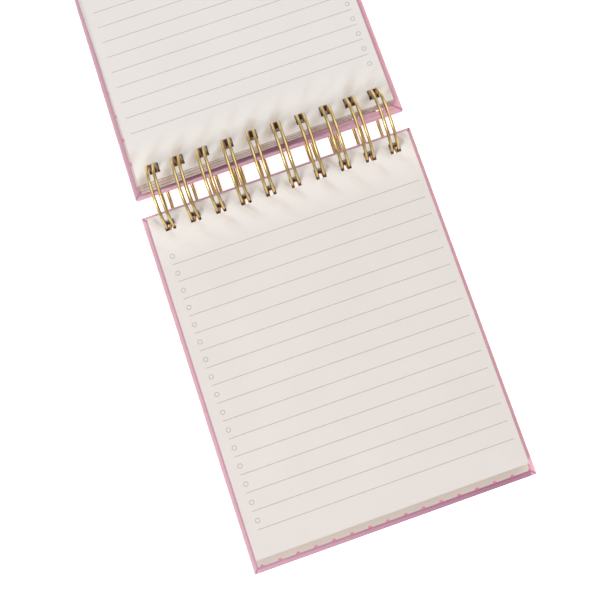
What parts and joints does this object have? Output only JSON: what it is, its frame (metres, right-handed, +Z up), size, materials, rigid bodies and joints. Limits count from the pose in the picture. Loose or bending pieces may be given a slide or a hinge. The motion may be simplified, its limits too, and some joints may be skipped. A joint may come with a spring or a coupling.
{
  "type": "wire-bound notebook",
  "caption": "Top-bound notebook on a double-loop wire comb, with hard wrapped covers, dotted endpapers and loose ruled leaves; it stands open with its cover and some leaves turned over.",
  "frame": {"origin": "on the surface that the open notebook stands on, under the rings' common axis, halfway along the binding", "axes": "+X along the binding, +Y from the rings toward the turned-over front cover, +Z up"},
  "size_m": [0.1396, 0.3646, 0.0345],
  "materials": {
    "cover_cloth": "matt fine-woven book cloth, pink",
    "endpaper": "matt cream paper with pink dots",
    "greyboard": "raw board, seen only inside the punched holes",
    "leaf_paper": "matt off-white paper with grey ruling",
    "wire": "bright gold-coloured wire"
  },
  "bodies": {
    "back_cover": {"wire_binding": "wire", "back_cover_board": "greyboard", "back_cover_wrap": "cover_cloth", "back_cover_endpaper": "endpaper"},
    "front_cover": {"front_cover_board": "greyboard", "front_cover_wrap": "cover_cloth", "front_cover_endpaper": "endpaper"},
    "lower_leaf_block": {"leaf_05": "leaf_paper", "leaf_06": "leaf_paper", "leaf_07": "leaf_paper", "leaf_08": "leaf_paper", "leaf_09": "leaf_paper", "leaf_10": "leaf_paper", "leaf_11": "leaf_paper", "leaf_12": "leaf_paper", "leaf_13": "leaf_paper", "leaf_14": "leaf_paper", "leaf_15": "leaf_paper", "leaf_16": "leaf_paper", "leaf_17": "leaf_paper", "leaf_18": "leaf_paper", "leaf_19": "leaf_paper", "leaf_20": "leaf_paper", "leaf_21": "leaf_paper", "leaf_22": "leaf_paper", "leaf_23": "leaf_paper", "leaf_24": "leaf_paper", "leaf_25": "leaf_paper", "leaf_26": "leaf_paper", "leaf_27": "leaf_paper", "leaf_28": "leaf_paper", "leaf_29": "leaf_paper", "leaf_30": "leaf_paper", "leaf_31": "leaf_paper", "leaf_32": "leaf_paper", "leaf_33": "leaf_paper", "leaf_34": "leaf_paper", "leaf_35": "leaf_paper", "leaf_36": "leaf_paper"},
    "top_leaf_04": {"leaf_04": "leaf_paper"},
    "top_leaf_03": {"leaf_03": "leaf_paper"},
    "top_leaf_02": {"leaf_02": "leaf_paper"},
    "top_leaf_01": {"leaf_01": "leaf_paper"},
    "flipped_leaf_block": {"flipped_leaf_05": "leaf_paper", "flipped_leaf_06": "leaf_paper", "flipped_leaf_07": "leaf_paper", "flipped_leaf_08": "leaf_paper", "flipped_leaf_09": "leaf_paper", "flipped_leaf_10": "leaf_paper", "flipped_leaf_11": "leaf_paper", "flipped_leaf_12": "leaf_paper"},
    "turned_leaf_04": {"flipped_leaf_04": "leaf_paper"},
    "turned_leaf_03": {"flipped_leaf_03": "leaf_paper"},
    "turned_leaf_02": {"flipped_leaf_02": "leaf_paper"},
    "turned_leaf_01": {"flipped_leaf_01": "leaf_paper"}
  },
  "joints": [
    {"name": "front_cover_hinge", "type": "hinge", "parent": "back_cover", "child": "front_cover", "pos_m": [0, 0, 0.01725], "axis": [-1, 0, 0], "range_deg": [-184.52, 40]},
    {"name": "lower_leaf_block_turn", "type": "hinge", "parent": "back_cover", "child": "lower_leaf_block", "pos_m": [0, 0, 0.01725], "axis": [-1, 0, 0], "range_deg": [0, 184.52]},
    {"name": "top_leaf_04_turn", "type": "hinge", "parent": "lower_leaf_block", "child": "top_leaf_04", "pos_m": [0, 0, 0.01725], "axis": [-1, 0, 0], "range_deg": [0, 184.52]},
    {"name": "top_leaf_03_turn", "type": "hinge", "parent": "top_leaf_04", "child": "top_leaf_03", "pos_m": [0, 0, 0.01725], "axis": [-1, 0, 0], "range_deg": [0, 184.52]},
    {"name": "top_leaf_02_turn", "type": "hinge", "parent": "top_leaf_03", "child": "top_leaf_02", "pos_m": [0, 0, 0.01725], "axis": [1, 0, 0], "range_deg": [-184.52, 0]},
    {"name": "top_leaf_01_turn", "type": "hinge", "parent": "top_leaf_02", "child": "top_leaf_01", "pos_m": [0, 0, 0.01725], "axis": [-1, 0, 0], "range_deg": [0, 184.52]},
    {"name": "flipped_leaf_block_turn", "type": "hinge", "parent": "front_cover", "child": "flipped_leaf_block", "pos_m": [0, 0, 0.01725], "axis": [1, 0, 0], "range_deg": [0, 184.52]},
    {"name": "turned_leaf_04_turn", "type": "hinge", "parent": "flipped_leaf_block", "child": "turned_leaf_04", "pos_m": [0, 0, 0.01725], "axis": [1, 0, 0], "range_deg": [0, 184.52]},
    {"name": "turned_leaf_03_turn", "type": "hinge", "parent": "turned_leaf_04", "child": "turned_leaf_03", "pos_m": [0, 0, 0.01725], "axis": [1, 0, 0], "range_deg": [0, 184.52]},
    {"name": "turned_leaf_02_turn", "type": "hinge", "parent": "turned_leaf_03", "child": "turned_leaf_02", "pos_m": [0, 0, 0.01725], "axis": [-1, 0, 0], "range_deg": [-184.52, 0]},
    {"name": "turned_leaf_01_turn", "type": "hinge", "parent": "turned_leaf_02", "child": "turned_leaf_01", "pos_m": [0, 0, 0.01725], "axis": [1, 0, 0], "range_deg": [0, 184.52]}
  ]
}
